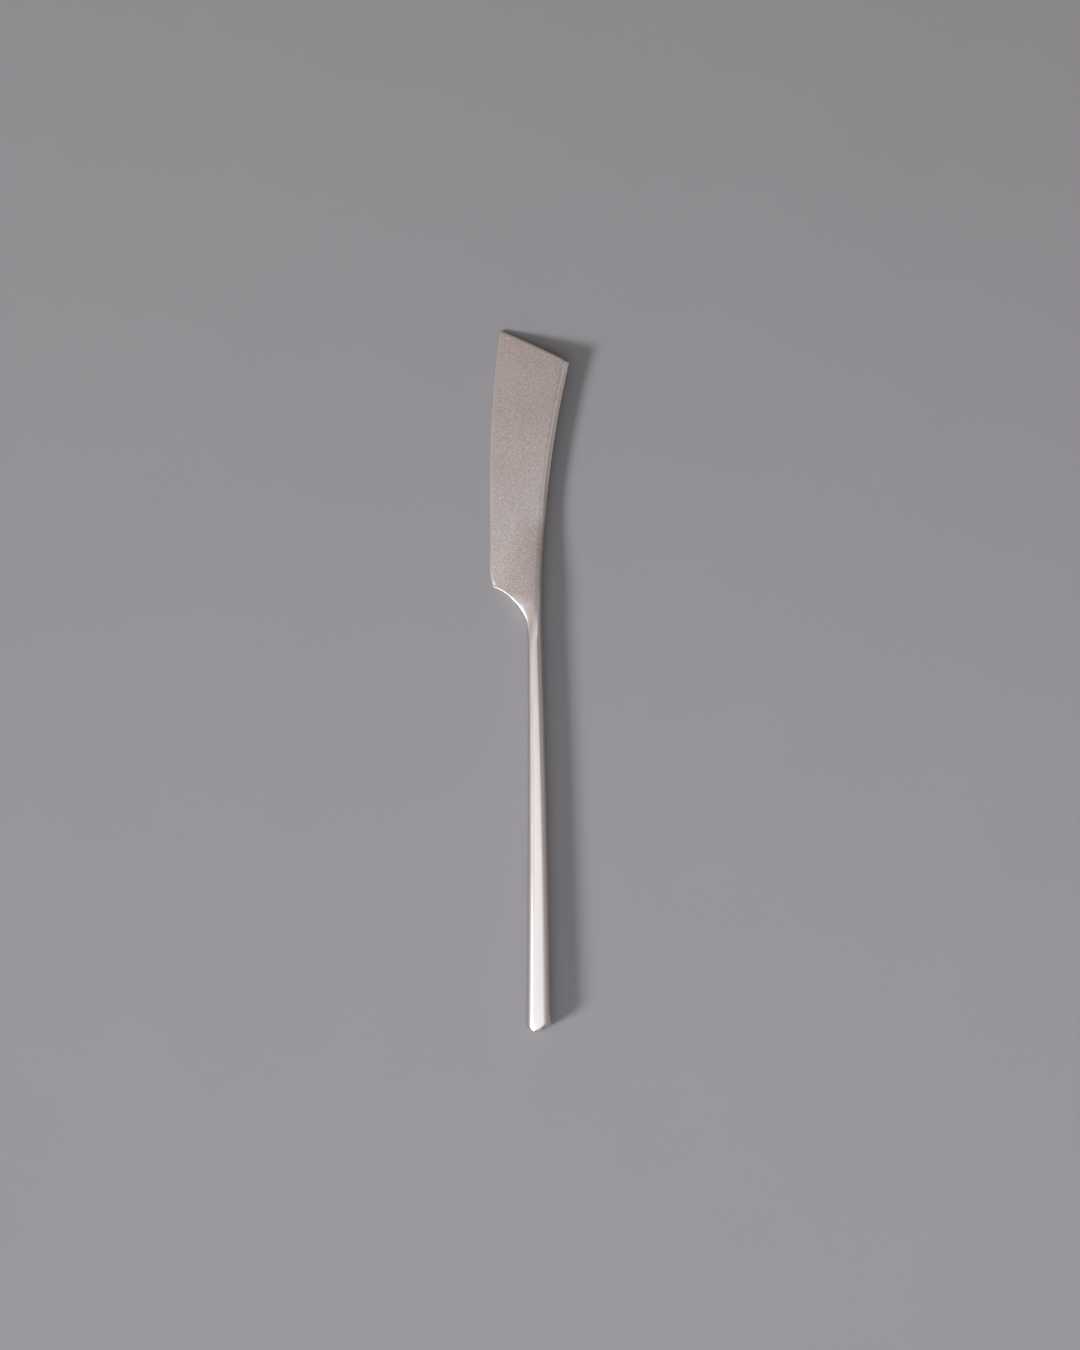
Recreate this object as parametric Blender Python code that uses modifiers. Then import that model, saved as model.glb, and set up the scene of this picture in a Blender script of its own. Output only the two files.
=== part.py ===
"""Table knife with a slant-tipped blade and a slim hollow handle, lying as it rests on a table.

The knife is drawn in its own axes. X runs across the blade from the cutting edge to the spine, Y runs
from the butt to the tip, and Z is the thickness. A carrier empty then lays it down on the ground plane.
"""

import math

import bmesh
import bpy
from mathutils import Matrix, Vector

# Overall lengths along Y, from the end of the butt.
TOTAL_LENGTH = 0.2300
MOUTH_Y = 0.1270

# Handle: a superellipse section that narrows from the butt to the mouth.
BUTT_HALF_WIDTH = 0.00405
BUTT_HALF_THICK = 0.00410
MOUTH_HALF_WIDTH = 0.00243
MOUTH_HALF_THICK = 0.00340
HANDLE_SWELL = 0.00006
BUTT_OFFSET = 0.00112
HANDLE_BOW = 0.00026
BUTT_ROUND = 0.0035
ROUND_POWER = 2.2
ROUND_SHIFT = 0.0006
END_POWER = 16
SECTION_POWER = 2.3
WALL = 0.0008

# Brazed joints: the slots between the steel pieces, and the clearance left on each side of the braze.
SEAM_SLOT = 0.0003
MOUTH_SLOT = 0.0003
JOINT_GAP = 0.00005
CEMENT_GAP = 0.0001

# Blade outline: both long sides bend toward the spine side, and the slanted tip is very slightly crowned.
SPINE_RADIUS = 0.3325
SPINE_FOOT_X = 0.00220
SPINE_FOOT_Y = 0.1420
SPINE_TIP_Y = 0.2194
EDGE_RADIUS = 0.382
EDGE_X = -0.01506
EDGE_BEND_Y = 0.1809
HEEL_Y = 0.1458
HEEL_ROUND_Y = 0.1511
HEEL_RADIUS = 0.0130
CHOIL_END_X = -0.00248
CHOIL_END_Y = 0.1304
TIP_CROWN = 0.0003
HEEL_RUNG_Y = 0.1565

# Neck: its round section flattens between two stations of the spine, and its thickness fades into the blade.
NECK_END_Y = 0.1340
FACE_START_Y = 0.1465
ROOT_START_Y = 0.1300
ROOT_LENGTH = 0.0400
ROOT_SPREAD = 2.5

# Blade thickness: the flat of each side is a plane that thins toward the edge and toward the tip.
FACE_HALF_THICK = 0.00130
FACE_REFERENCE_Y = 0.1500
ACROSS_TAPER = 0.040
LENGTH_TAPER = 0.0060
EDGE_HALF_THICK = 0.00015
EDGE_BEVEL = math.radians(27)

# Ground rim of the choil: narrow along the blade, it spreads into a tongue that ends in a point on the neck.
RIM_WIDTH = 0.00062
RIM_BEVEL = math.radians(22)
RIM_SPREAD_Y = 0.1395
TONGUE_WIDTH = 0.0023
TONGUE_Y = 0.1335
TONGUE_END_WIDTH = 0.0008
TONGUE_END_BEVEL = math.radians(34)
TONGUE_END_Y = 0.1280

# Broken corners along the spine and the slanted tip.
SPINE_ROLL = 0.0029
SPINE_ROLL_ANGLE = math.radians(30)
SPINE_BEVEL_WIDTH = 0.0006
SPINE_BEVEL = math.radians(36)
TIP_ROUND = 0.0007
TIP_BEVEL_WIDTH = 0.00045
TIP_BEVEL = math.radians(30)
THINNEST_HALF = 0.00010

# Tang: a flat tapering bar with notches that the cement keys into.
TANG_LENGTH = 0.045
TANG_ROOT_HALF = 0.00105
TANG_END_HALF = 0.00085
TANG_HALF_THICK = 0.0009
TANG_OVERLAP = 0.0020
NOTCH_DEPTH = 0.00035
NOTCH_HALF_LENGTH = 0.0010
NOTCH_PITCH = 0.0110
NOTCH_COUNT = 3

# The knife lies on the underside of its handle and on the shoulder of the edge's bevel at this station.
EDGE_TOUCH_Y = 0.1750
SETTLE_ROUNDS = 5

HANDLE_RINGS = 14
BUTT_RINGS = 9
SECTION_POINTS = 40
CHOIL_RUNGS = 14
BLADE_RUNGS = 26
BORDER_COLUMNS = (0.0, 0.5, 1.0, 1.6)
FACE_COLUMNS = 5


def lerp(start, end, share):
    return start + (end - start) * share


def smooth(share):
    share = min(max(share, 0.0), 1.0)
    return share * share * (3 - 2 * share)


def arc_offset(distance, radius):
    """Sideways offset of a circular arc that sets off straight, after this distance."""
    return radius - math.sqrt(radius * radius - distance * distance)


def signed_power(value, power):
    return math.copysign(abs(value) ** power, value)


def handle_section(y):
    """Centre offset, half width and half thickness of the handle at this station."""
    share = (MOUTH_Y - y) / MOUTH_Y
    middle = 4 * share * (1 - share)
    centre = BUTT_OFFSET * share + HANDLE_BOW * middle
    half_width = lerp(MOUTH_HALF_WIDTH, BUTT_HALF_WIDTH, share) + HANDLE_SWELL * middle
    half_thick = lerp(MOUTH_HALF_THICK, BUTT_HALF_THICK, share)
    return centre, half_width, half_thick


def handle_outline(front_y, inset):
    """Stations of the handle from front_y to the butt, as (y, centre, half width, half thickness)."""
    stations = []
    for i in range(HANDLE_RINGS):
        y = lerp(front_y, BUTT_ROUND, i / HANDLE_RINGS)
        centre, half_width, half_thick = handle_section(y)
        stations.append((y, centre, half_width - inset, half_thick - inset))
    centre, half_width, half_thick = handle_section(BUTT_ROUND)
    for i in range(BUTT_RINGS):
        angle = math.radians(84) * i / (BUTT_RINGS - 1)
        y = BUTT_ROUND - (BUTT_ROUND - inset) * math.sin(angle) ** (2 / ROUND_POWER)
        width = math.cos(angle) ** (2 / ROUND_POWER)
        thickness = math.cos(angle) ** (2 / END_POWER)
        shifted = centre - ROUND_SHIFT * (1 - width)
        stations.append((y, shifted, (half_width - inset) * width, (half_thick - inset) * thickness))
    return stations


def section_ring(station, count):
    y, centre, half_width, half_thick = station
    ring = []
    for i in range(count):
        angle = 2 * math.pi * (i + 0.5) / count
        x = centre + half_width * signed_power(math.cos(angle), 2 / SECTION_POWER)
        z = half_thick * signed_power(math.sin(angle), 2 / SECTION_POWER)
        ring.append((x, y, z))
    return ring


def spine_x(y):
    if y >= SPINE_FOOT_Y:
        return SPINE_FOOT_X + arc_offset(y - SPINE_FOOT_Y, SPINE_RADIUS)
    share = (SPINE_FOOT_Y - y) / (SPINE_FOOT_Y - MOUTH_Y)
    return lerp(SPINE_FOOT_X, MOUTH_HALF_WIDTH, share * share)


def edge_x(y):
    if y < HEEL_ROUND_Y:
        return EDGE_X + arc_offset(HEEL_ROUND_Y - y, HEEL_RADIUS)
    if y < EDGE_BEND_Y:
        return EDGE_X
    return EDGE_X + arc_offset(y - EDGE_BEND_Y, EDGE_RADIUS)


def face_half_thickness(x, y):
    across = ACROSS_TAPER * (x - SPINE_FOOT_X)
    along = LENGTH_TAPER * (y - FACE_REFERENCE_Y)
    return FACE_HALF_THICK + across - along


def rim_facet(y):
    """Width and slope of the choil's ground rim, beside this station of the left outline."""
    spread = smooth((RIM_SPREAD_Y - y) / (RIM_SPREAD_Y - TONGUE_Y))
    ending = smooth((TONGUE_Y - y) / (TONGUE_Y - TONGUE_END_Y))
    turn = smooth((RIM_SPREAD_Y - y) / (RIM_SPREAD_Y - TONGUE_END_Y))
    width = lerp(lerp(RIM_WIDTH, TONGUE_WIDTH, spread), TONGUE_END_WIDTH, ending)
    return width, math.tan(lerp(RIM_BEVEL, TONGUE_END_BEVEL, turn))


def edge_facet(y):
    """Width and slope of the cutting edge's bevel at this station."""
    slope = math.tan(EDGE_BEVEL)
    face = face_half_thickness(edge_x(y), y)
    return (face - EDGE_HALF_THICK) / (slope - ACROSS_TAPER), slope


def spine_fall(distance):
    """Drop below the flat side at this distance from the spine: a rounding, then one steeper bevel."""
    arc = SPINE_ROLL - SPINE_BEVEL_WIDTH
    radius = arc / math.sin(SPINE_ROLL_ANGLE)
    into = min(max(SPINE_ROLL - distance, 0.0), arc)
    bevel = max(SPINE_BEVEL_WIDTH - distance, 0.0)
    return arc_offset(into, radius) + bevel * math.tan(SPINE_BEVEL)


def blade_rungs():
    """Rungs from neck to tip, as (left end, right end, facet along the left, crown, way to the tip)."""
    tip = TOTAL_LENGTH - HEEL_Y
    rungs = [((-MOUTH_HALF_WIDTH, MOUTH_Y), (MOUTH_HALF_WIDTH, MOUTH_Y), rim_facet(MOUTH_Y), 0, tip)]
    reach = CHOIL_END_X - edge_x(HEEL_Y)
    rise = HEEL_Y - CHOIL_END_Y
    radius = (reach * reach + rise * rise) / (2 * reach)
    sweep = math.asin(rise / radius)
    for i in range(CHOIL_RUNGS):
        share = i / CHOIL_RUNGS
        x = CHOIL_END_X - radius * (1 - math.cos(sweep * share))
        y = CHOIL_END_Y + radius * math.sin(sweep * share)
        right_y = lerp(CHOIL_END_Y, HEEL_RUNG_Y, share)
        rungs.append(((x, y), (spine_x(right_y), right_y), rim_facet(y), 0, tip))
    shares = [(1 - TIP_ROUND / tip) * (i / BLADE_RUNGS) ** 1.3 for i in range(BLADE_RUNGS + 1)]
    shares += [1 - TIP_ROUND / tip * (1 - math.sin(math.radians(a))) for a in (30, 60, 90)]
    for share in shares:
        y = lerp(HEEL_Y, TOTAL_LENGTH, share)
        right_y = lerp(HEEL_RUNG_Y, SPINE_TIP_Y, share)
        way = (1 - share) * tip
        rounding = max(0.0, 1 - way / TIP_ROUND) ** 2
        left = (edge_x(y) + TIP_ROUND * 0.6 * rounding, y)
        right = (spine_x(right_y) - TIP_ROUND * 0.5 * rounding, right_y)
        crown = TIP_CROWN * share**4
        rungs.append((left, right, edge_facet(y), crown, way))
    return rungs


def blade_columns(length, facet_width):
    """Distances of the section columns from the left end of a rung, closer together at both sides."""
    spine = (SPINE_ROLL, 0.75 * SPINE_ROLL, 0.5 * SPINE_ROLL, SPINE_BEVEL_WIDTH, 0.0)
    right = [length - offset for offset in spine]
    left = [facet_width * share for share in BORDER_COLUMNS]
    middle = [lerp(left[-1], right[0], (i + 1) / (FACE_COLUMNS + 1)) for i in range(FACE_COLUMNS)]
    return left + middle + right


def flatness(rung_y):
    """How far the section has turned from the round neck (0) to the flat blade (1) at this spine station."""
    return smooth((rung_y - NECK_END_Y) / (FACE_START_Y - NECK_END_Y))


def root_thickness(x, y, flat):
    """Extra half thickness of the blade's root, which fades with the distance from the end of the neck."""
    reach = math.hypot(ROOT_SPREAD * flat * x, max(y - ROOT_START_Y, 0.0))
    return (MOUTH_HALF_THICK - FACE_HALF_THICK) * smooth(1 - reach / ROOT_LENGTH)


def side_point(left, right, crown, distance):
    """Point of the upper side at this distance along a rung: a round neck that turns into a flat blade."""
    start = Vector(left)
    along = Vector(right) - start
    share = min(max(distance / along.length, 0.0), 1.0)
    place = start + along * share
    place.y += 4 * crown * share * (1 - share)
    flat = flatness(right[1])
    root = root_thickness(place.x, place.y, flat)
    arch = (1 - abs(2 * share - 1) ** SECTION_POWER) ** (1 / SECTION_POWER)
    flat_z = face_half_thickness(place.x, place.y) - spine_fall(along.length - distance)
    return Vector((*place, lerp((FACE_HALF_THICK + root) * arch, flat_z + root, flat)))


def blade_ring(left, right, facet, crown, way):
    """Closed section over one rung, with the facet ground along its left end and the tip's broken corner."""
    facet_width, facet_slope = facet
    length = (Vector(right) - Vector(left)).length
    ground = side_point(left, right, crown, facet_width).z
    corner = max(TIP_BEVEL_WIDTH - way, 0.0) * math.tan(TIP_BEVEL)
    columns = blade_columns(length, facet_width)
    upper = []
    for i, flat_place in enumerate(columns):
        angle = math.pi * (1 - i / (len(columns) - 1))
        round_place = length / 2 * (1 + signed_power(math.cos(angle), 2 / SECTION_POWER))
        distance = lerp(round_place, flat_place, flatness(right[1]))
        point = side_point(left, right, crown, distance)
        if distance < facet_width:
            point.z = min(point.z, ground - facet_slope * (facet_width - distance))
        point.z = max(point.z - corner, THINNEST_HALF)
        upper.append(point)
    return upper + [Vector((x, y, -z)) for x, y, z in reversed(upper)]


def mesh_object(name, collection, bm):
    mesh = bpy.data.meshes.new(name)
    bm.to_mesh(mesh)
    bm.free()
    obj = bpy.data.objects.new(name, mesh)
    collection.objects.link(obj)
    return obj


def loft(name, collection, rings, close_start):
    """Skin over rings of equal point count. The last ring is always closed with a flat face."""
    bm = bmesh.new()
    skin = [[bm.verts.new(point) for point in ring] for ring in rings]
    count = len(rings[0])
    for near, far in zip(skin, skin[1:]):
        for i in range(count):
            j = (i + 1) % count
            bm.faces.new((near[i], near[j], far[j], far[i]))
    bm.faces.new(skin[-1])
    if close_start:
        bm.faces.new(skin[0])
    bmesh.ops.recalc_face_normals(bm, faces=bm.faces)
    return mesh_object(name, collection, bm)


def plate(name, collection, outlines, half_thick):
    """Flat plate in the XY plane from closed outlines, the first outside and the others holes."""
    curve = bpy.data.curves.new(name, "CURVE")
    curve.dimensions = "2D"
    curve.fill_mode = "BOTH"
    curve.extrude = half_thick
    for outline in outlines:
        spline = curve.splines.new("POLY")
        spline.points.add(len(outline) - 1)
        for point, (x, y) in zip(spline.points, outline):
            point.co = (x, y, 0.0, 1.0)
        spline.use_cyclic_u = True
    drawn = bpy.data.objects.new(name, curve)
    bm = bmesh.new()
    bm.from_mesh(drawn.to_mesh())
    drawn.to_mesh_clear()
    bpy.data.objects.remove(drawn)
    bmesh.ops.remove_doubles(bm, verts=bm.verts, dist=1e-7)
    bmesh.ops.recalc_face_normals(bm, faces=bm.faces)
    return mesh_object(name, collection, bm)


def box(name, collection, low, high):
    bm = bmesh.new()
    size = Vector(high) - Vector(low)
    centre = (Vector(high) + Vector(low)) / 2
    matrix = Matrix.Translation(centre) @ Matrix.Diagonal((*size, 1.0))
    bmesh.ops.create_cube(bm, size=1.0, matrix=matrix)
    return mesh_object(name, collection, bm)


def boolean(obj, other, operation):
    modifier = obj.modifiers.new(operation.title(), "BOOLEAN")
    modifier.operation = operation
    modifier.solver = "EXACT"
    modifier.object = other


def tang_outline(extra):
    """Outline of the notched tang, grown all round by extra. It starts inside the neck."""
    end_y = MOUTH_Y - TANG_LENGTH
    right = [(TANG_ROOT_HALF, MOUTH_Y + TANG_OVERLAP)]
    for i in range(NOTCH_COUNT):
        y = MOUTH_Y - NOTCH_PITCH * (i + 1)
        half = lerp(TANG_ROOT_HALF, TANG_END_HALF, (MOUTH_Y - y) / TANG_LENGTH)
        right.append((half, y + NOTCH_HALF_LENGTH))
        right.append((half - NOTCH_DEPTH, y + NOTCH_HALF_LENGTH / 2))
        right.append((half - NOTCH_DEPTH, y - NOTCH_HALF_LENGTH / 2))
        right.append((half, y - NOTCH_HALF_LENGTH))
    right.append((TANG_END_HALF, end_y + 2 * TANG_END_HALF))
    right.append((TANG_END_HALF / 2, end_y - extra))
    right = [(x + extra, y) for x, y in right]
    return right + [(-x, y) for x, y in reversed(right)]


def material(name, colour, roughness, metallic):
    made = bpy.data.materials.new(name)
    made.use_nodes = True
    shader = made.node_tree.nodes["Principled BSDF"]
    shader.inputs["Base Color"].default_value = (*colour, 1.0)
    shader.inputs["Roughness"].default_value = roughness
    shader.inputs["Metallic"].default_value = metallic
    return made


def build_blade(parts, cutters):
    rings = [blade_ring(*rung) for rung in blade_rungs()]
    blade = loft("blade", parts, rings, True)
    tang = plate("tang_bar", cutters, [tang_outline(0.0)], TANG_HALF_THICK)
    boolean(blade, tang, "UNION")
    return blade


def build_shells(parts, cutters):
    """Upper and lower halves of the hollow handle, cut from one solidified tube."""
    rings = [section_ring(s, SECTION_POINTS) for s in handle_outline(MOUTH_Y - MOUTH_SLOT, 0.0)]
    shells = []
    for name, side in (("handle_shell_upper", 1), ("handle_shell_lower", -1)):
        shell = loft(name, parts, rings, False)
        wall = shell.modifiers.new("Wall", "SOLIDIFY")
        wall.thickness = WALL
        wall.offset = -1
        wall.use_even_offset = True
        near = side * SEAM_SLOT / 2
        far = side * 2 * BUTT_HALF_THICK
        low = (-0.02, -0.01, min(near, far))
        high = (0.02, TOTAL_LENGTH, max(near, far))
        half_space = box(name + "_half", cutters, low, high)
        boolean(shell, half_space, "INTERSECT")
        shells.append(shell)
    return shells


def build_seam_braze(parts):
    """U-shaped strip that lies between the rims of the two half shells."""
    front = MOUTH_Y - MOUTH_SLOT
    outer = handle_outline(front, 0.0)
    inner = handle_outline(front, WALL)
    path = [(c + w, y) for y, c, w, _ in outer]
    path += [(c - w, y) for y, c, w, _ in reversed(outer)]
    path += [(c - w, y) for y, c, w, _ in inner]
    path += [(c + w, y) for y, c, w, _ in reversed(inner)]
    return plate("handle_seam_braze", parts, [path], SEAM_SLOT / 2 - JOINT_GAP)


def build_mouth_ring(parts):
    """Ring between the neck shoulder and the handle mouth, drawn flat and then stood across the axis."""
    outlines = []
    for inset in (0.0, WALL):
        centre, half_width, half_thick = handle_section(MOUTH_Y)
        station = (0.0, centre, half_width - inset, half_thick - inset)
        outlines.append([(x, z) for x, _, z in section_ring(station, SECTION_POINTS)])
    ring = plate("mouth_braze_ring", parts, outlines, MOUTH_SLOT / 2 - JOINT_GAP)
    stand = Matrix.Rotation(math.radians(90), 4, "X")
    ring.data.transform(Matrix.Translation((0.0, MOUTH_Y - MOUTH_SLOT / 2, 0.0)) @ stand)
    return ring


def build_cement(parts, cutters):
    stations = handle_outline(MOUTH_Y - MOUTH_SLOT, WALL + CEMENT_GAP)
    rings = [section_ring(s, SECTION_POINTS) for s in stations]
    cement = loft("handle_cement", parts, rings, True)
    pocket = plate(
        "tang_pocket", cutters, [tang_outline(CEMENT_GAP)], TANG_HALF_THICK + CEMENT_GAP
    )
    boolean(cement, pocket, "DIFFERENCE")
    return cement


def resting_turn():
    """Turn that lays the knife on the handle's underside and on the shoulder of the edge's bevel."""
    edge = edge_x(EDGE_TOUCH_Y)
    face = face_half_thickness(edge, EDGE_TOUCH_Y)
    bevel_width = edge_facet(EDGE_TOUCH_Y)[0]
    reach = -edge - bevel_width
    depth = face + ACROSS_TAPER * bevel_width
    roll = 0.0
    for _ in range(SETTLE_ROUNDS):
        butt = BUTT_HALF_THICK - BUTT_OFFSET * math.sin(roll)
        slope = (butt - MOUTH_HALF_THICK) / (MOUTH_Y - BUTT_ROUND)
        height = butt - slope * (EDGE_TOUCH_Y - BUTT_ROUND)
        roll = math.asin(height / math.hypot(reach, depth)) - math.atan(depth / reach)
    return Matrix.Rotation(-math.atan(slope), 4, "X") @ Matrix.Rotation(-roll, 4, "Y")


def lay_down(pieces, helpers):
    """Lays the knife on the ground plane, with its box centred on the origin seen from above."""
    carrier = bpy.data.objects.new("knife_axis", None)
    bpy.context.scene.collection.objects.link(carrier)
    turn = resting_turn()
    carrier.matrix_world = turn
    for obj in [*pieces, *helpers]:
        obj.parent = carrier
    bpy.context.view_layer.update()
    graph = bpy.context.evaluated_depsgraph_get()
    corners = []
    for piece in pieces:
        shape = piece.evaluated_get(graph)
        corners += [shape.matrix_world @ v.co for v in shape.data.vertices]
    middle = [(min(c[k] for c in corners) + max(c[k] for c in corners)) / 2 for k in (0, 1)]
    floor = min(c.z for c in corners)
    carrier.matrix_world = Matrix.Translation((-middle[0], -middle[1], -floor)) @ turn


def main():
    for obj in list(bpy.data.objects):
        bpy.data.objects.remove(obj)
    parts = bpy.data.collections.new("table_knife")
    cutters = bpy.data.collections.new("cutters")
    for collection in (parts, cutters):
        bpy.context.scene.collection.children.link(collection)
    cutters.hide_render = True

    blade = build_blade(parts, cutters)
    upper, lower = build_shells(parts, cutters)
    seam = build_seam_braze(parts)
    ring = build_mouth_ring(parts)
    cement = build_cement(parts, cutters)
    pieces = [blade, upper, lower, seam, ring, cement]
    for helper in cutters.objects:
        helper.hide_render = True
        helper.display_type = "WIRE"

    blade_steel = material("blade_steel", (0.60, 0.56, 0.54), 0.38, 1.0)
    handle_steel = material("handle_steel", (0.70, 0.655, 0.635), 0.28, 1.0)
    braze_metal = material("braze_metal", (0.56, 0.53, 0.50), 0.45, 1.0)
    filler = material("cement", (0.45, 0.43, 0.40), 0.90, 0.0)
    finishes = [blade_steel, handle_steel, handle_steel, braze_metal, braze_metal, filler]
    for piece, finish in zip(pieces, finishes):
        piece.data.materials.append(finish)
    lay_down(pieces, cutters.objects)


main()
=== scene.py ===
"""Satin steel table knife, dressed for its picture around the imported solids.

The knife is drawn in its own axes, in metres. X runs across the blade from the cutting edge to the spine, Y
runs from the butt to the tip, and Z is the thickness. The finished points are then laid down where the
solids rest.
"""

import math

import bmesh
import bpy
import numpy as np
from mathutils import Matrix, Vector


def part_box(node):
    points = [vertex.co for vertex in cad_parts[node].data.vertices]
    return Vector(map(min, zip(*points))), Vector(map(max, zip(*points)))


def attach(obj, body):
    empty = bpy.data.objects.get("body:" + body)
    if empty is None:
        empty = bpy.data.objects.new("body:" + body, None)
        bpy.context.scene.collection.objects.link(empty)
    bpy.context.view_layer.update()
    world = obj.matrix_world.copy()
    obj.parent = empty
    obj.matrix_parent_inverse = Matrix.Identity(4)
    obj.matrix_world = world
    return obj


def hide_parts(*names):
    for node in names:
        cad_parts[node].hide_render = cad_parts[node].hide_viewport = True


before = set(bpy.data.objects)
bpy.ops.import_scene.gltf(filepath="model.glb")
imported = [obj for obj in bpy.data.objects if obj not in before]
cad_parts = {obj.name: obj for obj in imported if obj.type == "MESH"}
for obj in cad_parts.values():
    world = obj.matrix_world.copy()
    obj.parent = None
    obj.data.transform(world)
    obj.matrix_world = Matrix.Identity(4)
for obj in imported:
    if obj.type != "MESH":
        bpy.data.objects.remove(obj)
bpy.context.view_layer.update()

bl_info = {
    "name": "Table Knife",
    "version": (1, 0, 0),
    "blender": (4, 5, 0),
    "location": "View3D > Sidebar > Table Knife",
    "description": "Builds a satin steel table knife with a hollow handle, and a plain stage to show it on",
    "category": "Add Mesh",
}

KNIFE_COLLECTION = "table_knife"
BODY = "root"
WEAR_AND_SHEEN = "edge_wear_and_sheen"
SATIN = "satin_share"

# Points of the surface grids.
TANG_ROWS = 60
NECK_ROWS = 14
CHOIL_ROWS = 116
BLADE_ROWS = 120
TIP_ROWS = 36
EDGE_COLUMNS = 38
FACE_COLUMNS = 30
SPINE_COLUMNS = 46
HANDLE_ROWS = 60
BUTT_ROWS = 48
ARC_POINTS = 81
RING_STATIONS = 160

# Zones along the borders where the grid is crowded, and the most of a rung that they take.
TIP_ZONE = 0.0018
EDGE_ZONE = 0.0024
SPINE_ZONE = 0.0040
EDGE_ZONE_SHARE = 0.40
SPINE_ZONE_SHARE = 0.45
ZONE_POWER = 1.25

# Limits of the meshes, and the rounds in which the knife settles on the table.
THINNEST_HALF = 0.00010
WELD_DISTANCE = 1e-7
CREASE_ANGLE = math.radians(22)
SETTLE_ROUNDS = 5

# How far the tip's corners draw in on each side, as shares of their rounding.
EDGE_CORNER = 0.6
SPINE_CORNER = 0.5

# Wear with a painted highlight on worn borders, smudges, streaks and grain of the steel.
WEAR_AND_SHEEN_REACH = 0.0006
# Lightening and polish toward the end of the handle's butt.
BUTT_LIGHTENING = 0.5
BUTT_LIGHTENING_REACH = 0.006
# Lightening of worn borders, partly wear and partly a painted highlight along them.
WORN_AND_SHEEN_SHADE = 1.12
WORN_POLISH = 0.05
SMUDGE_SIZE = 0.018
SMUDGE_SHADE = (0.96, 0.96, 0.965)
SMUDGE_ROUGHNESS = 0.02
STREAK_SIZE = 0.00025
STREAK_STRETCH = 0.012
STREAK_DEPTH = 4e-7
BLADE_GRAIN_DEPTH = 6e-6
HANDLE_GRAIN_DEPTH = 6e-7
HANDLE_CONTRAST = 0.03
SAND_SIZE = 1 / 1400
LUMP_SIZE = 0.002

# Range of a noise that holds most of its values.
NOISE_LOW = 0.3
NOISE_HIGH = 0.7

# Stage.
FLOOR_HALF = 8.0
FLOOR_MOTTLE_SIZE = 0.05
FLOOR_MOTTLE_SHADE = 0.985
PANEL_HEIGHT = 0.5
SENSOR = 0.036
MILLIMETRES = 1000


def length(name, description, default):
    return bpy.props.FloatProperty(
        name=name, description=description, default=default, unit="LENGTH", precision=5
    )


def number(name, description, default):
    return bpy.props.FloatProperty(name=name, description=description, default=default, precision=4)


def angle(name, description, degrees):
    return bpy.props.FloatProperty(
        name=name, description=description, default=math.radians(degrees), subtype="ANGLE"
    )


def colour(name, description, default):
    return bpy.props.FloatVectorProperty(
        name=name, description=description, default=default, size=3, subtype="COLOR", min=0.0, max=1.0
    )


class HandleSizes(bpy.types.PropertyGroup):
    """Sizes of the hollow handle."""

    mouth_y: length("Mouth", "Distance from the end of the butt to the handle's mouth", 0.1270)
    butt_half_width: length("Butt half width", "Half width at the butt", 0.00405)
    butt_half_thick: length("Butt half thickness", "Half thickness at the butt", 0.00410)
    mouth_half_width: length("Mouth half width", "Half width at the mouth", 0.00243)
    mouth_half_thick: length("Mouth half thickness", "Half thickness at the mouth", 0.00340)
    swell: length("Swell", "Extra half width in the middle of the handle", 0.00006)
    butt_offset: length("Butt offset", "Sideways offset of the butt toward the spine", 0.00112)
    bow: length("Bow", "Sideways bow in the middle of the handle", 0.00026)
    butt_round: length("Butt rounding", "Length of the rounded end of the butt", 0.0035)
    round_shift: length("Rounding shift", "Sideways shift of the butt's end toward the edge", 0.0006)
    round_power: number("Rounding power", "Squareness of the butt seen from above", 2.2)
    end_power: number("End power", "Squareness of the butt seen from the side", 16.0)
    section_power: number("Section power", "Squareness of the cross section", 2.3)
    wall: length("Wall", "Thickness of the steel shells", 0.0008)
    seam_slot: length("Seam", "Width of the brazed seam between the shells", 0.0003)
    mouth_slot: length("Mouth seam", "Width of the brazed seam between handle and neck", 0.0003)


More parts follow.
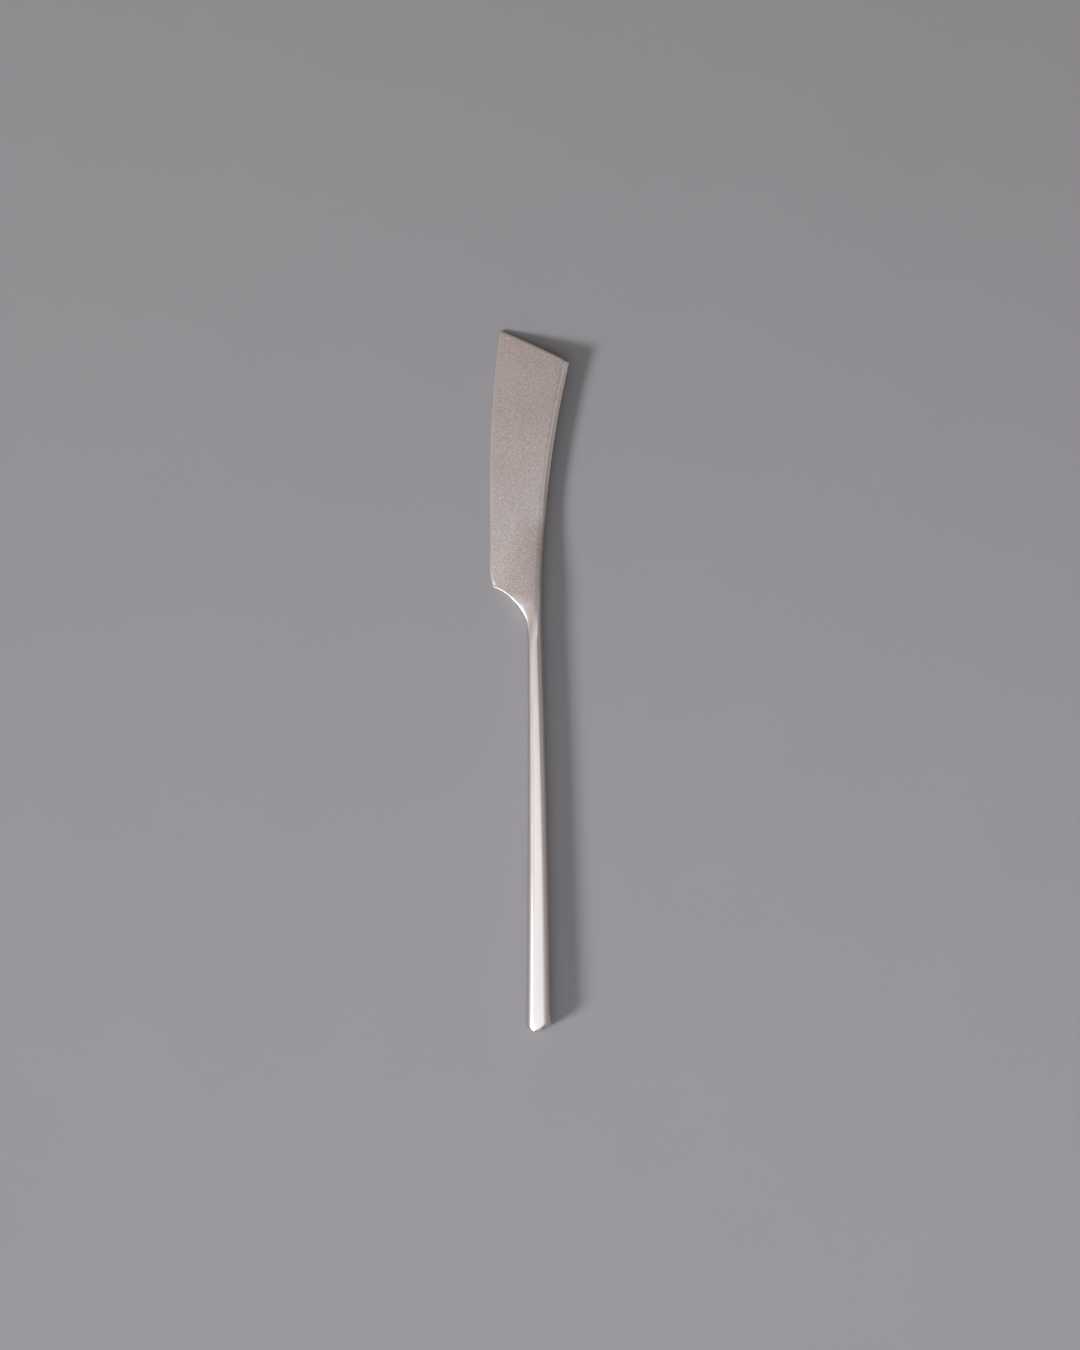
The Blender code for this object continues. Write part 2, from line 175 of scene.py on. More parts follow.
class BladeSizes(bpy.types.PropertyGroup):
    """Sizes of the blade, its neck and its tang."""

    total_length: length("Total length", "Distance from the end of the butt to the tip", 0.2300)
    spine_radius: length("Spine radius", "Radius of the bowed spine", 0.3325)
    spine_foot_x: length("Spine foot X", "Place of the spine where its bow begins", 0.00220)
    spine_foot_y: length("Spine foot Y", "Station where the spine's bow begins", 0.1420)
    spine_tip_y: length("Spine tip", "Station where the spine meets the slanted tip", 0.2194)
    edge_radius: length("Edge radius", "Radius of the bowed part of the cutting edge", 0.382)
    edge_x: length("Edge X", "Place of the straight part of the cutting edge", -0.01506)
    edge_bend_y: length("Edge bend", "Station where the cutting edge begins to bow", 0.1809)
    heel_y: length("Heel", "Station of the heel's corner", 0.1458)
    heel_round_y: length("Heel round", "Station where the heel's rounding ends", 0.1511)
    heel_radius: length("Heel radius", "Radius of the edge at the heel", 0.0130)
    heel_rung_y: length("Heel rung", "Station on the spine across from the heel", 0.1565)
    choil_end_x: length("Choil end X", "Place where the choil runs into the neck", -0.00248)
    choil_end_y: length("Choil end Y", "Station where the choil runs into the neck", 0.1304)
    tip_crown: length("Tip crown", "Bulge of the slanted tip", 0.0003)
    tip_round: length("Tip corners", "Rounding of the tip's two corners", 0.0007)
    neck_end_y: length("Neck end", "Station on the spine where the round neck begins to flatten", 0.1340)
    face_start_y: length("Face start", "Station on the spine where the sides become flat", 0.1465)
    choil_square: number("Choil squareness", "Power gained toward the blade on the neck's choil side", 4.0)
    spine_square: number("Spine squareness", "Power gained toward the blade on the neck's spine side", 1.4)
    lean_angle: angle("Lean", "Slope of the neck's top toward the choil where it leans most", 12.0)
    lean_x: length("Lean X", "Place from which the neck's top leans", 0.0010)
    lean_round: length("Lean rounding", "Width over which the lean sets in", 0.0014)
    lean_start_y: length("Lean start", "Station where the lean begins", 0.1275)
    lean_y: length("Lean Y", "Station where the neck's top leans most", 0.1345)
    lean_end_y: length("Lean end", "Station where the lean has faded into the blade", 0.1435)
    root_start_y: length("Root start", "Station where the neck begins to thin toward the blade", 0.1300)
    root_length: length("Root length", "Length over which the thickened root fades into the blade", 0.0400)
    root_spread: number("Root spread", "How much faster the root fades across the blade than along it", 2.5)
    face_half_thick: length("Face half thickness", "Half thickness at the root of the spine", 0.00130)
    face_reference_y: length("Face reference", "Station at which that thickness is given", 0.1500)
    across_taper: number("Taper across", "Loss of half thickness toward the edge", 0.040)
    along_taper: number("Taper along", "Loss of half thickness toward the tip", 0.0060)
    edge_half_thick: length("Edge half thickness", "Half thickness of the blunt cutting edge", 0.00015)
    edge_bevel: angle("Edge bevel", "Slope of the cutting edge's bevel", 27.0)
    heel_bevel: angle("Heel bevel", "Slope of that bevel at the heel's corner", 32.0)
    heel_bevel_length: length("Heel bevel length", "Length over which the bevel steepens to the heel", 0.0120)
    tip_bevel_width: length("Tip bevel width", "Width of the broken corner along the slanted tip", 0.00045)
    tip_bevel: angle("Tip bevel", "Slope of that broken corner", 30.0)
    rim_width: length("Rim width", "Width of the ground rim of the choil", 0.00019)
    rim_bevel: angle("Rim bevel", "Slope of that rim along the blade", 10.0)
    rim_spread_y: length("Rim spread", "Station where the rim begins to spread into a tongue", 0.1395)
    tongue_width: length("Tongue width", "Width of the tongue where it is widest", 0.0009)
    tongue_y: length("Tongue", "Station where the tongue is widest", 0.1335)
    tongue_end_width: length("Tongue end width", "Width with which the tongue runs out", 0.0006)
    tongue_end_bevel: angle("Tongue end bevel", "Slope with which the tongue runs out", 14.0)
    tongue_end_y: length("Tongue end", "Station where the tongue runs out to a point", 0.1280)
    spine_roll: length("Spine roll", "Width of the rounding along the spine", 0.0021)
    spine_roll_angle: angle("Spine roll angle", "Slope at which the spine's rounding ends", 56.0)
    spine_root_angle: angle("Spine root angle", "Slope at which it ends next to the neck", 9.0)
    roll_start_y: length("Roll start", "Station from which the spine's rounding deepens", 0.1500)
    roll_full_y: length("Roll full", "Station at which the spine's rounding is deepest", 0.1850)
    spine_bevel_width: length("Spine bevel width", "Width of the crisp bevel along the spine", 0.0005)
    spine_bevel: angle("Spine bevel", "Slope of that crisp bevel", 38.0)
    tang_length: length("Tang length", "Length of the tang inside the handle", 0.045)
    tang_root_half: length("Tang root", "Half width of the tang at the mouth", 0.00105)
    tang_end_half: length("Tang end", "Half width of the tang at its end", 0.00085)
    tang_half_thick: length("Tang half thickness", "Half thickness of the tang", 0.0009)
    notch_depth: length("Notch depth", "Depth of the notches that key the tang into the cement", 0.00035)
    notch_half_length: length("Notch half length", "Half length of a notch", 0.0010)
    notch_pitch: length("Notch pitch", "Distance between notches", 0.0110)
    edge_touch_y: length("Edge touch", "Station where the edge's bevel touches the table", 0.1750)
    satin_end_y: length("Satin end", "Station up to which the neck has the handle's finish", 0.1370)
    blast_start_y: length("Blast start", "Station from which the blade is fully blasted", 0.1440)


class Finishes(bpy.types.PropertyGroup):
    """Colours and grain of the surfaces."""

    blade_colour: colour("Blade steel", "Colour of the blasted blade", (0.60, 0.56, 0.54))
    handle_colour: colour("Handle steel", "Colour of the satin handle", (0.70, 0.655, 0.635))
    braze_colour: colour("Braze", "Colour of the silver braze", (0.64, 0.60, 0.58))
    cement_colour: colour("Cement", "Colour of the filler inside the handle", (0.45, 0.43, 0.40))
    blade_contrast: number("Blade contrast", "Strength of the blasted grain's light and dark", 0.24)
    blade_roughness: number("Blade roughness", "Mean roughness of the blade", 0.34)
    handle_roughness: number("Handle roughness", "Mean roughness of the handle", 0.31)
    blade_grain: length("Blade grain", "Size of the blasted grain on the blade", 0.00048)
    handle_grain: length("Handle grain", "Size of the fine grain on the handle", 0.00028)


class StageSettings(bpy.types.PropertyGroup):
    """Floor, lamps and camera."""

    floor_colour: colour("Floor", "Colour of the plain floor", (0.275, 0.275, 0.29))
    world_colour: colour("Surroundings", "Colour of the dim room", (0.155, 0.126, 0.115))
    lens: bpy.props.FloatProperty(
        name="Lens", description="Focal length", default=0.085, unit="CAMERA"
    )
    view_height: length("View height", "Height of the picture at the knife", 0.4425)
    view_x: length("View X", "Place of the picture's middle, across", 0.00343)
    view_y: length("View Y", "Place of the picture's middle, along", 0.00188)
    view_z: length("View Z", "Height at which the view height is measured", 0.0040)


class TableKnife(bpy.types.PropertyGroup):
    """All settings of the table knife."""

    handle: bpy.props.PointerProperty(name="Handle", type=HandleSizes)
    blade: bpy.props.PointerProperty(name="Blade", type=BladeSizes)
    finish: bpy.props.PointerProperty(name="Finishes", type=Finishes)
    stage: bpy.props.PointerProperty(name="Stage", type=StageSettings)


def mix(start, end, share):
    return start + (end - start) * share


def smooth(share):
    share = np.clip(share, 0.0, 1.0)
    return share * share * (3 - 2 * share)


def signed_power(value, power):
    return np.copysign(np.abs(value) ** power, value)


def arc_offset(distance, radius):
    """Sideways offset of a circle that sets off straight.

    It is the radius less the root of the radius squared less the distance squared.
    """
    return radius - np.sqrt(radius * radius - distance * distance)


def spine_x(handle, blade, y):
    """A circular arc above the foot of the spine, and a parabola from there down to the mouth."""
    bow = blade.spine_foot_x + arc_offset(np.maximum(y - blade.spine_foot_y, 0.0), blade.spine_radius)
    share = np.maximum(blade.spine_foot_y - y, 0.0) / (blade.spine_foot_y - handle.mouth_y)
    return bow + (handle.mouth_half_width - blade.spine_foot_x) * share**2


def edge_x(blade, y):
    """A small arc at the heel, a straight stretch, and a large arc toward the tip."""
    heel = arc_offset(np.maximum(blade.heel_round_y - y, 0.0), blade.heel_radius)
    bow = arc_offset(np.maximum(y - blade.edge_bend_y, 0.0), blade.edge_radius)
    return blade.edge_x + heel + bow


def choil_circle(blade):
    """Centre, radius and sweep of the circle that leaves the neck along Y and meets the heel's corner."""
    reach = blade.choil_end_x - float(edge_x(blade, blade.heel_y))
    rise = blade.heel_y - blade.choil_end_y
    radius = (reach * reach + rise * rise) / (2 * reach)
    return blade.choil_end_x - radius, blade.choil_end_y, radius, math.asin(rise / radius)


def flat_side(blade, x, y):
    """Half thickness of the blade's flat sides: a plane that falls toward the edge and toward the tip."""
    across = blade.across_taper * (x - blade.spine_foot_x)
    return blade.face_half_thick + across - blade.along_taper * (y - blade.face_reference_y)


def resting_place(knife):
    """Turn and shift from the knife's axes to the frame.

    The knife lies on the handle's underside and on the shoulder of the edge's bevel. The slope of the
    underside and the roll onto the shoulder depend on each other, so they are found in a few rounds. The
    braze ring at the mouth is alike on both sides of its middle, so the middle of its box fixes the place.
    """
    handle, blade = knife.handle, knife.blade
    edge = float(edge_x(blade, blade.edge_touch_y))
    face = flat_side(blade, edge, blade.edge_touch_y)
    width = (face - blade.edge_half_thick) / (math.tan(blade.edge_bevel) - blade.across_taper)
    reach, depth = -edge - width, face + blade.across_taper * width
    roll = 0.0
    for _ in range(SETTLE_ROUNDS):
        butt = handle.butt_half_thick - handle.butt_offset * math.sin(roll)
        slope = (butt - handle.mouth_half_thick) / (handle.mouth_y - handle.butt_round)
        height = butt - slope * (blade.edge_touch_y - handle.butt_round)
        roll = math.asin(height / math.hypot(reach, depth)) - math.atan(depth / reach)
    turn = Matrix.Rotation(-math.atan(slope), 3, "X") @ Matrix.Rotation(-roll, 3, "Y")
    low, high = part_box("mouth_braze_ring")
    ring = Vector((0.0, handle.mouth_y - handle.mouth_slot / 2, 0.0))
    return np.array(turn), np.array((low + high) / 2 - turn @ ring)


def ladder(handle, blade):
    """Left end, right end and tip share of the rungs that cross the neck, choil and blade.

    On the neck both ends step along Y. Round the choil the left end turns evenly on the choil's circle while
    the right end steps along the spine. On the blade both ends step to the tip, closer together near the heel
    and the tip. The tip's corners draw in by a parabola.
    """
    neck_y = np.linspace(handle.mouth_y, blade.choil_end_y, NECK_ROWS, endpoint=False)
    neck_share = (neck_y - handle.mouth_y) / (blade.choil_end_y - handle.mouth_y)
    neck_x = mix(-handle.mouth_half_width, blade.choil_end_x, neck_share)

    centre_x, centre_y, radius, sweep = choil_circle(blade)
    turn = np.linspace(0.0, 1.0, CHOIL_ROWS, endpoint=False)
    choil_x = centre_x + radius * np.cos(sweep * turn)
    choil_y = centre_y + radius * np.sin(sweep * turn)
    choil_right = mix(blade.choil_end_y, blade.heel_rung_y, turn)

    reach = blade.total_length - blade.heel_y
    start = (1 - TIP_ZONE / reach) * np.linspace(0.0, 1.0, BLADE_ROWS, endpoint=False) ** ZONE_POWER
    share = np.concatenate([start, 1 - np.linspace(TIP_ZONE / reach, 0.0, TIP_ROWS)])
    rounding = np.maximum(0.0, 1 - (1 - share) * reach / blade.tip_round) ** 2
    blade_y = mix(blade.heel_y, blade.total_length, share)
    blade_x = edge_x(blade, blade_y) + EDGE_CORNER * blade.tip_round * rounding
    blade_right = mix(blade.heel_rung_y, blade.spine_tip_y, share)

    left = np.stack(
        [np.concatenate([neck_x, choil_x, blade_x]), np.concatenate([neck_y, choil_y, blade_y])], axis=1
    )
    right_y = np.concatenate([neck_y, choil_right, blade_right])
    below = np.zeros(NECK_ROWS + CHOIL_ROWS)
    inset = np.concatenate([below, SPINE_CORNER * blade.tip_round * rounding])
    right = np.stack([spine_x(handle, blade, right_y) - inset, right_y], axis=1)
    return left, right, np.concatenate([below, share])


def rung_columns(span, flatness, power):
    """Shares across each rung: crowded at both ends on the blade, even round the section on the neck."""
    edge = np.linspace(0.0, 1.0, EDGE_COLUMNS, endpoint=False) ** ZONE_POWER
    face = np.linspace(0.0, 1.0, FACE_COLUMNS, endpoint=False)
    spine = 1 - np.linspace(1.0, 0.0, SPINE_COLUMNS) ** ZONE_POWER
    edge_zone = np.minimum(EDGE_ZONE / span, EDGE_ZONE_SHARE)[:, None]
    spine_zone = 1 - np.minimum(SPINE_ZONE / span, SPINE_ZONE_SHARE)[:, None]
    flat = np.concatenate(
        [edge_zone * edge, mix(edge_zone, spine_zone, face), mix(spine_zone, 1.0, spine)], axis=1
    )
    turn = np.linspace(math.pi, 0.0, flat.shape[1])
    even = (1 + signed_power(np.cos(turn), 2 / power)) / 2
    return mix(even[None, :], flat, flatness[:, None])


def border_distances(handle, blade, x, y, crown):
    """Distances of each point from the cutting edge, choil, slanted tip and spine, inward being positive.

    A border that is a circle gives the distance from its centre less its radius, and a straight one gives the
    distance across it.
    """
    heel = blade.heel_radius - np.hypot(x - blade.edge_x - blade.heel_radius, y - blade.heel_round_y)
    bow = blade.edge_radius - np.hypot(x - blade.edge_x - blade.edge_radius, y - blade.edge_bend_y)
    edge = np.where(y < blade.heel_round_y, heel, np.where(y < blade.edge_bend_y, x - blade.edge_x, bow))

    centre_x, centre_y, radius, _ = choil_circle(blade)
    choil = np.where(y < centre_y, x - centre_x - radius, np.hypot(x - centre_x, y - centre_y) - radius)

    tip_left = np.array([float(edge_x(blade, blade.total_length)), blade.total_length])
    tip_right = np.array([float(spine_x(handle, blade, blade.spine_tip_y)), blade.spine_tip_y])
    across = (tip_right - tip_left) / np.linalg.norm(tip_right - tip_left)
    tip = (x - tip_left[0]) * across[1] - (y - crown - tip_left[1]) * across[0]

    bowed = np.hypot(x - blade.spine_foot_x - blade.spine_radius, y - blade.spine_foot_y) - blade.spine_radius
    spine = np.where(y < blade.spine_foot_y, spine_x(handle, blade, y) - x, bowed)
    return edge, choil, tip, np.maximum(spine, 0.0)


def border_fall(blade, y, spine, tip):
    """Drop below the flat side near the spine and the tip.

    Along the spine it is a circular rounding from the flat, which deepens by a smooth step away from the
    neck, and then one straight bevel. Along the tip it is one narrow straight bevel.
    """
    deepening = smooth((y - blade.roll_start_y) / (blade.roll_full_y - blade.roll_start_y))
    arc = blade.spine_roll - blade.spine_bevel_width
    radius = arc / np.sin(mix(blade.spine_root_angle, blade.spine_roll_angle, deepening))
    into = np.clip(blade.spine_roll - spine, 0.0, arc)
    bevel = np.maximum(blade.spine_bevel_width - spine, 0.0)
    corner = np.maximum(blade.tip_bevel_width - tip, 0.0)
    return arc_offset(into, radius) + bevel * math.tan(blade.spine_bevel) + corner * math.tan(blade.tip_bevel)


def side_height(handle, blade, rungs, flatness, share):
    """Points across the rungs, their height before the rim and edge are ground, and their border distances.

    The height is a superellipse on the neck and a tapering plane on the blade, mixed by a smooth step along
    the spine. The superellipse grows squarer toward the blade by another smooth step, more so on the choil
    side. The root is thicker by a smooth step that falls with the distance from the end of the neck, where
    distances across the blade count more than those along it. The neck's lean then takes off a share of it.
    """
    left, right, tip_share = rungs
    crown = 4 * blade.tip_crown * tip_share[:, None] ** 4 * share * (1 - share)
    x = mix(left[:, :1], right[:, :1], share)
    y = mix(left[:, 1:], right[:, 1:], share) + crown
    borders = border_distances(handle, blade, x, y, crown)
    reach = np.hypot(blade.root_spread * flatness * x, np.maximum(y - blade.root_start_y, 0.0))
    root = (handle.mouth_half_thick - blade.face_half_thick) * smooth(1 - reach / blade.root_length)
    rising = smooth((right[:, 1:] - blade.tongue_end_y) / (blade.rim_spread_y - blade.tongue_end_y))
    power = handle.section_power + rising * mix(blade.choil_square, blade.spine_square, share)
    arch = np.maximum(1 - np.abs(2 * share - 1) ** power, 0.0) ** (1 / power)
    flat = flat_side(blade, x, y) - border_fall(blade, y, borders[3], borders[2])
    height = mix((blade.face_half_thick + root) * arch, flat + root, flatness)
    return x, y, height * (1 - neck_lean(blade, x, y) / handle.mouth_half_thick), borders


def neck_lean(blade, x, y):
    """Drop of the neck's top toward the choil.

    Across the neck it is a parabola that runs on straight. Smooth steps bring it in and out along the neck.
    """
    past = np.maximum(blade.lean_x - x, 0.0) / blade.lean_round
    drop = blade.lean_round * np.where(past < 1, past**2 / 2, past - 0.5)
    rising = smooth((y - blade.lean_start_y) / (blade.lean_y - blade.lean_start_y))
    fading = smooth((blade.lean_end_y - y) / (blade.lean_end_y - blade.lean_y))
    return math.tan(blade.lean_angle) * drop * rising * fading


def rim_facet(blade, y):
    """Width, slope and tongue share of the choil's rim.

    Smooth steps take them from the rim to the tongue, and on to the tongue's end.
    """
    spread = smooth((blade.rim_spread_y - y) / (blade.rim_spread_y - blade.tongue_y))
    ending = smooth((blade.tongue_y - y) / (blade.tongue_y - blade.tongue_end_y))
    turn = smooth((blade.rim_spread_y - y) / (blade.rim_spread_y - blade.tongue_end_y))
    width = mix(mix(blade.rim_width, blade.tongue_width, spread), blade.tongue_end_width, ending)
    return width, np.tan(mix(blade.rim_bevel, blade.tongue_end_bevel, turn)), turn


def blade_surface(handle, blade):
    """Upper side of neck and blade on the ladder's grid, its wear and painted highlight along the borders and
    its share of satin.

    Within the width of the choil's rim the side falls off at the rim's slope. It falls from its own height
    along the blade, and from its height at the rim's inner border on the tongue. Along the edge it is cut to
    a bevel that rises from the edge's half thickness, with a slope that steepens to the heel by a smooth step.
    """
    rungs = ladder(handle, blade)
    left, right, tip_share = rungs
    span = np.linalg.norm(right - left, axis=1)
    flatness = smooth((right[:, 1] - blade.neck_end_y) / (blade.face_start_y - blade.neck_end_y))
    share = rung_columns(span, flatness, handle.section_power)
    flatness = flatness[:, None]
    x, y, height, borders = side_height(handle, blade, rungs, flatness, share)
    edge, choil, tip, spine = borders

    width, slope, turn = rim_facet(blade, left[:, 1:])
    ground = side_height(handle, blade, rungs, flatness, width / span[:, None])[2]
    rim = mix(height, ground, turn) - slope * (width - np.maximum(choil, 0.0))
    height = np.where(choil < width, np.minimum(height, rim), height)
    heel = smooth(1 - (y - blade.heel_y) / blade.heel_bevel_length)
    steepness = np.tan(mix(blade.edge_bevel, blade.heel_bevel, heel))
    bevel = blade.edge_half_thick + np.maximum(edge, 0.0) * steepness
    height = np.where(tip_share[:, None] > 0, np.minimum(height, bevel), height)
    nearest = np.minimum(np.minimum(edge, choil), np.minimum(tip, spine))
    # Borders are worn and also take a painted highlight: the material lightens their colour by this share.
    wear_and_sheen = np.exp(-np.maximum(nearest, 0.0) / WEAR_AND_SHEEN_REACH) * flatness
    satin = smooth((blade.blast_start_y - y) / (blade.blast_start_y - blade.satin_end_y))
    return np.stack([x, y, np.maximum(height, THINNEST_HALF)], axis=-1), wear_and_sheen, satin


def tang_surface(handle, blade, columns):
    """Upper side of the notched tang: a flat bar whose half width tapers, with trapezium notches.

    The corners of its end are cut off at a slope.
    """
    end_y = handle.mouth_y - blade.tang_length
    y = np.linspace(end_y, handle.mouth_y, TANG_ROWS)
    half = mix(blade.tang_root_half, blade.tang_end_half, (handle.mouth_y - y) / blade.tang_length)
    past = (handle.mouth_y - y) / blade.notch_pitch % 1.0
    gap = np.minimum(past, 1 - past) * blade.notch_pitch
    notch = np.clip(2 - 2 * gap / blade.notch_half_length, 0.0, 1.0)
    notched = (y < handle.mouth_y - blade.notch_pitch / 2) & (y > end_y + blade.notch_pitch / 2)
    half = half - blade.notch_depth * notch * notched
    half = np.minimum(half, blade.tang_end_half * (0.5 + (y - end_y) / (4 * blade.tang_end_half)))
    x = half[:, None] * np.linspace(-1.0, 1.0, columns)
    z = np.full(x.shape, blade.tang_half_thick)
    return np.stack([x, np.broadcast_to(y[:, None], x.shape), z], axis=-1)


def handle_stations(handle, front_y, inset):
    """Stations y, centre, half width and half thickness from front_y to the butt, drawn in by inset.

    Along the handle the half sizes run straight from mouth to butt, with a parabolic swell and bow. The butt
    is a quarter superellipse turned to its pole, squarer in thickness than in width, and its middle moves
    sideways as it shrinks.
    """
    body_y = np.linspace(front_y, handle.butt_round, HANDLE_ROWS, endpoint=False)
    turn = np.linspace(0.0, math.pi / 2, BUTT_ROWS)
    rise = np.sin(turn) ** (2 / handle.round_power)
    y = np.concatenate([body_y, handle.butt_round - (handle.butt_round - inset) * rise])
    size = np.concatenate([np.ones(HANDLE_ROWS), np.cos(turn)])
    size[-1] = 0.0
    width = size ** (2 / handle.round_power)
    thickness = size ** (2 / handle.end_power)
    share = (handle.mouth_y - np.maximum(y, handle.butt_round)) / handle.mouth_y
    middle = 4 * share * (1 - share)
    centre = handle.butt_offset * share + handle.bow * middle - handle.round_shift * (1 - width)
    half_width = mix(handle.mouth_half_width, handle.butt_half_width, share) + handle.swell * middle - inset
    half_thick = mix(handle.mouth_half_thick, handle.butt_half_thick, share) - inset
    return y, centre, half_width * width, half_thick * thickness


def half_tube(handle, inset):
    """Upper half of the tube on a grid: superellipse arcs from rim to rim, lifted off the seam's middle."""
    y, centre, half_width, half_thick = handle_stations(handle, handle.mouth_y - handle.mouth_slot, inset)
    turn = np.linspace(math.pi, 0.0, ARC_POINTS)
    x = centre[:, None] + half_width[:, None] * signed_power(np.cos(turn), 2 / handle.section_power)
    z = half_thick[:, None] * np.abs(np.sin(turn)) ** (2 / handle.section_power)
    z = np.maximum(z, handle.seam_slot / 2)
    return np.stack([x, np.broadcast_to(y[:, None], x.shape), z], axis=-1)


def mirrored(upper):
    """Closed rings from an upper side: the side itself, then its mirror image below, back the other way."""
    return np.concatenate([upper, upper[:, ::-1] * (1, 1, -1)], axis=1)


def ring_faces(rows, count, closed):
    """Quads between neighbouring rings, and between the last and first where the path is closed.

    An open path is capped at each end with quads that join point i of a ring to its opposite, i places before
    the ring's end.
    """
    row = np.arange(rows if closed else rows - 1)[:, None]
    near = np.arange(count)[None, :]
    far = (near + 1) % count
    after = (row + 1) % rows
    corners = [row * count + near, row * count + far, after * count + far, after * count + near]
    quads = [np.stack(corners, axis=-1)]
    if not closed:
        i = np.arange(count // 2 - 1)
        cap = np.stack([i, i + 1, count - 2 - i, count - 1 - i], axis=-1)
        quads += [cap[:, ::-1], cap + (rows - 1) * count]
    return np.concatenate([quad.reshape(-1, 4) for quad in quads])


def make_piece(knife, name, rings, finish, material, node, closed=False):
    """Lays a grid of rings down in the frame as one closed mesh that rides the body and stands for a node.

    The finish holds named values for every point, which the material reads.
    """
    turn, shift = resting_place(knife)
    points = rings.reshape(-1, 3) @ turn.T + shift
    faces = ring_faces(rings.shape[0], rings.shape[1], closed)
    mesh = bpy.data.meshes.new(name)
    mesh.from_pydata(points, [], faces.tolist())
    for label, values in finish.items():
        layer = mesh.attributes.new(label, "FLOAT", "POINT")
        layer.data.foreach_set("value", np.ascontiguousarray(values, dtype=np.float32).ravel())
    work = bmesh.new()
    work.from_mesh(mesh)
    bmesh.ops.remove_doubles(work, verts=work.verts, dist=WELD_DISTANCE)
    bmesh.ops.dissolve_degenerate(work, edges=work.edges, dist=WELD_DISTANCE)
    bmesh.ops.recalc_face_normals(work, faces=work.faces)
    work.to_mesh(mesh)
    work.free()
    mesh.shade_smooth()
    mesh.set_sharp_from_angle(angle=CREASE_ANGLE)
    mesh.materials.append(material)
    piece = bpy.data.objects.new(name, mesh)
    knife_collection().objects.link(piece)
    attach(piece, BODY)
    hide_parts(node)


def knife_collection():
    found = bpy.data.collections.get(KNIFE_COLLECTION)
    if found is None:
        found = bpy.data.collections.new(KNIFE_COLLECTION)
        bpy.context.scene.collection.children.link(found)
    return found


def add_node(tree, kind, inputs=None, **options):
    """Adds a node, sets its options, and links or fills its inputs by name or number."""
    node = tree.nodes.new(kind)
    for option, value in options.items():
        setattr(node, option, value)
    for key, value in (inputs or {}).items():
        if isinstance(value, bpy.types.NodeSocket):
            tree.links.new(value, node.inputs[key])
        else:
            node.inputs[key].default_value = value
    return node


def new_material(name):
    material = bpy.data.materials.new(name)
    material.use_nodes = True
    tree = material.node_tree
    place = add_node(tree, "ShaderNodeTexCoord").outputs["Object"]
    return material, tree, tree.nodes["Principled BSDF"], place


def noise(tree, place, size, detail):
    """Fractal noise whose lumps are about this size in metres."""
    inputs = {"Vector": place, "Scale": 1 / size, "Detail": detail, "Roughness": 0.55}
    return add_node(tree, "ShaderNodeTexNoise", inputs).outputs["Fac"]


def spread(tree, value, low, high):
    """Maps the middle of a noise to the range from low to high."""
    inputs = {"Value": value, "From Min": NOISE_LOW, "From Max": NOISE_HIGH, "To Min": low, "To Max": high}
    return add_node(tree, "ShaderNodeMapRange", inputs).outputs["Result"]


def ramp(tree, value, dark, light):
    """Maps the middle of a noise to the colours from dark to light."""
    node = add_node(tree, "ShaderNodeValToRGB", {"Fac": value})
    stops = zip(node.color_ramp.elements, (NOISE_LOW, NOISE_HIGH), (dark, light))
    for stop, position, shade in stops:
        stop.position = position
        stop.color = (*shade, 1.0)
    return node.outputs["Color"]


def tinted(shade, factor):
    return tuple(min(1.0, part * factor) for part in shade)


def attribute(tree, label):
    return add_node(tree, "ShaderNodeAttribute", attribute_name=label).outputs["Fac"]


def computed(tree, operation, first, second):
    return add_node(tree, "ShaderNodeMath", {0: first, 1: second}, operation=operation).outputs[0]


def blended(tree, share, start, end, blend="MIX"):
    """Mixes two colours by a share."""
    inputs = {0: share, 6: start, 7: end}
    return add_node(tree, "ShaderNodeMix", inputs, data_type="RGBA", blend_type=blend).outputs[2]


